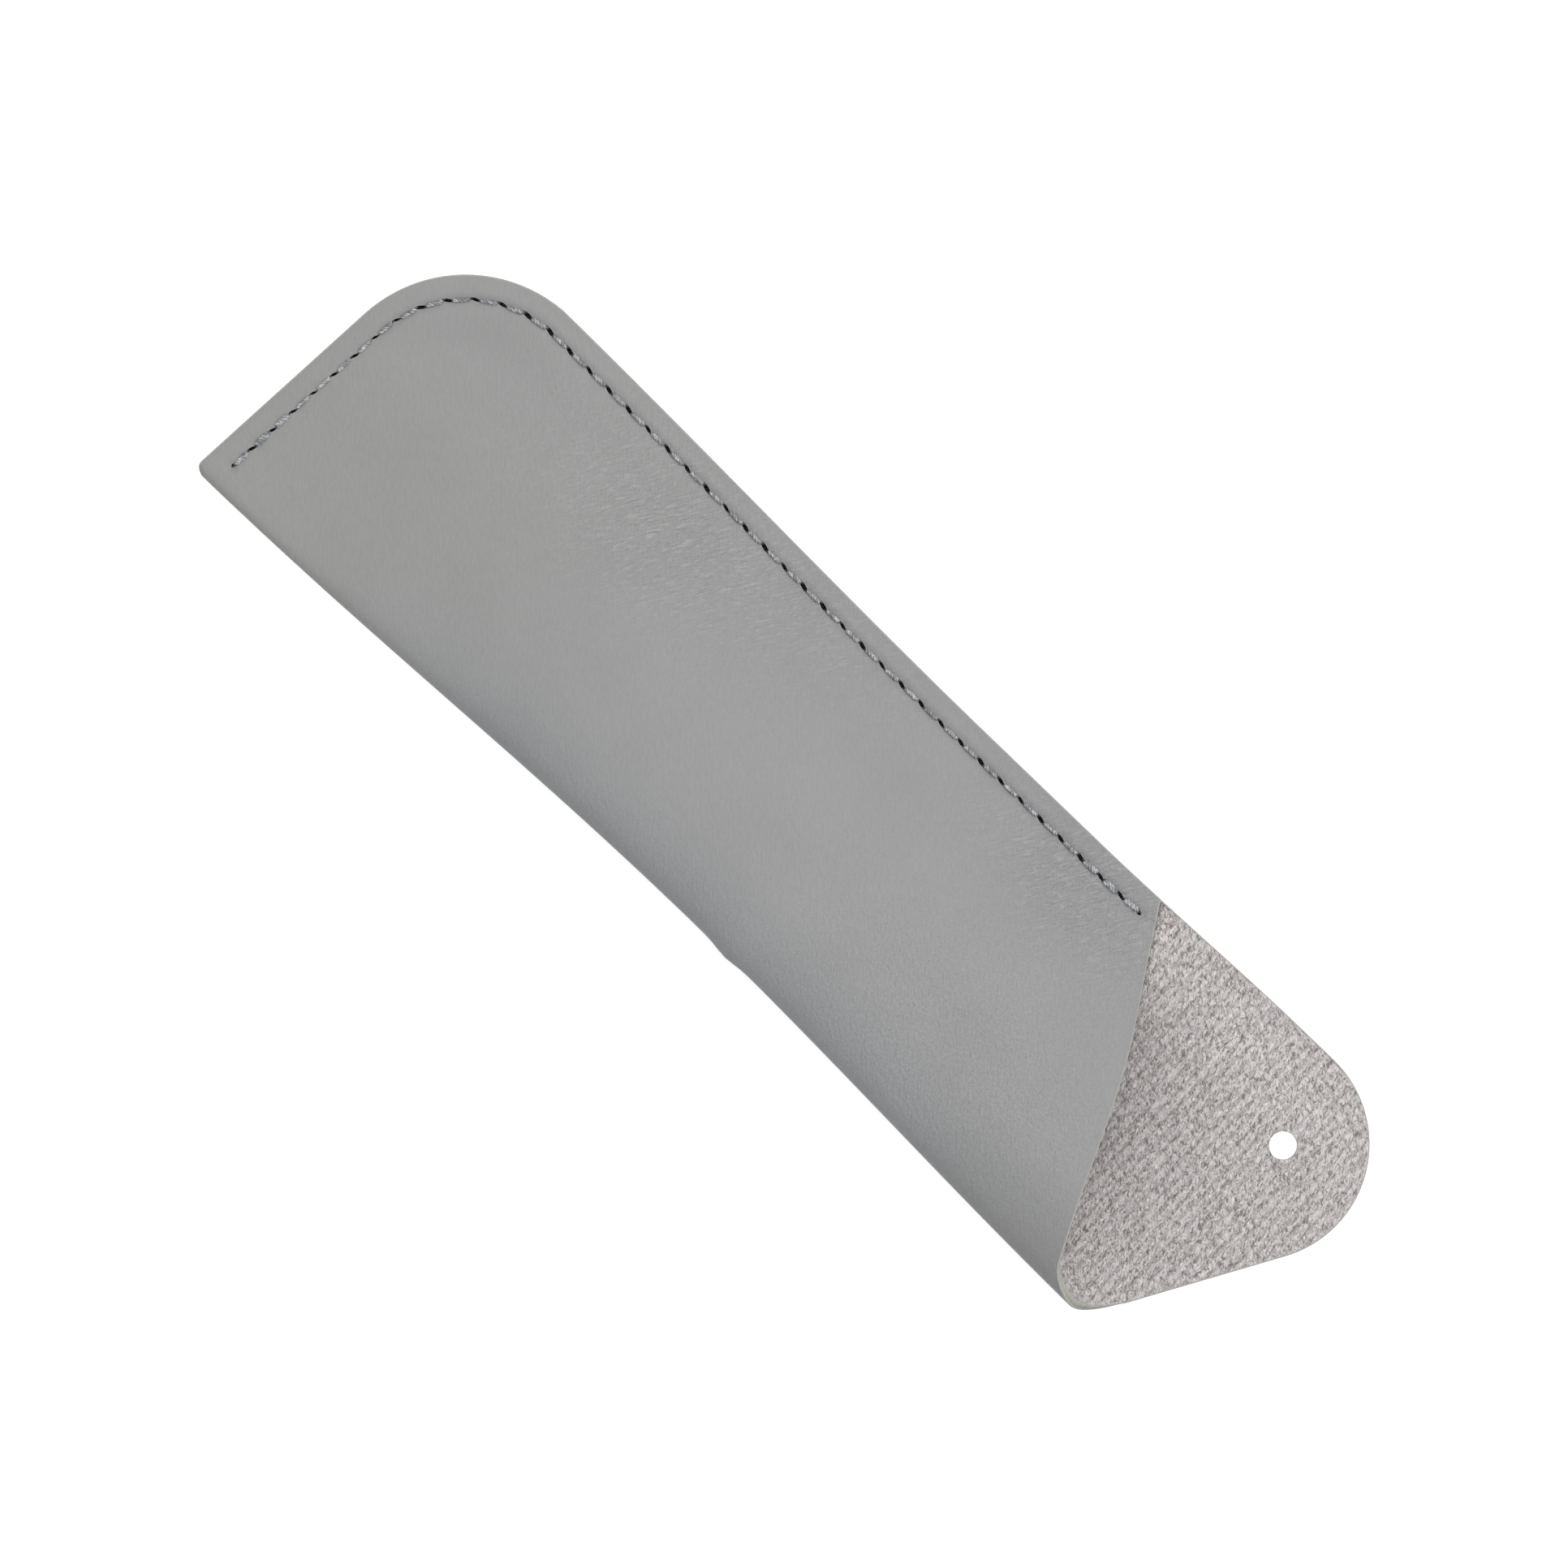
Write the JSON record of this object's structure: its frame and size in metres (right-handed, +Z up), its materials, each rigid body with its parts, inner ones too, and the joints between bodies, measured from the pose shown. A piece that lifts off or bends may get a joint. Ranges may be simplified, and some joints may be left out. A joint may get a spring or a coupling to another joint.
{
  "type": "pen pouch",
  "caption": "Slim pen sleeve folded from one sheet of laminated leather, sewn along the end and one side, with a tapered mouth and a rounded flap that folds over it.",
  "frame": {"origin": "bottom centre of the box round the pouch, on the surface that it lies on", "axes": "+X along the pouch from the closed end to the flap, +Y from the spine fold to the sewn edge, +Z up through the front panel"},
  "size_m": [0.1748, 0.0481, 0.0098],
  "materials": {
    "skin": "fine pebbled grey artificial leather, satin",
    "lining": "pinkish grey knitted backing, matt",
    "thread": "twisted grey sewing thread"
  },
  "bodies": {
    "pouch": {"pouch_skin": "skin", "pouch_lining": "lining", "needle_thread": "thread", "bobbin_thread": "thread"},
    "flap": {"flap_skin": "skin", "flap_lining": "lining"}
  },
  "joints": [
    {"name": "flap_fold", "type": "hinge", "parent": "pouch", "child": "flap", "pos_m": [0.06041, 0, 0.0053], "axis": [0.4962, -0.8682, 0], "range_deg": [0, 165]}
  ]
}
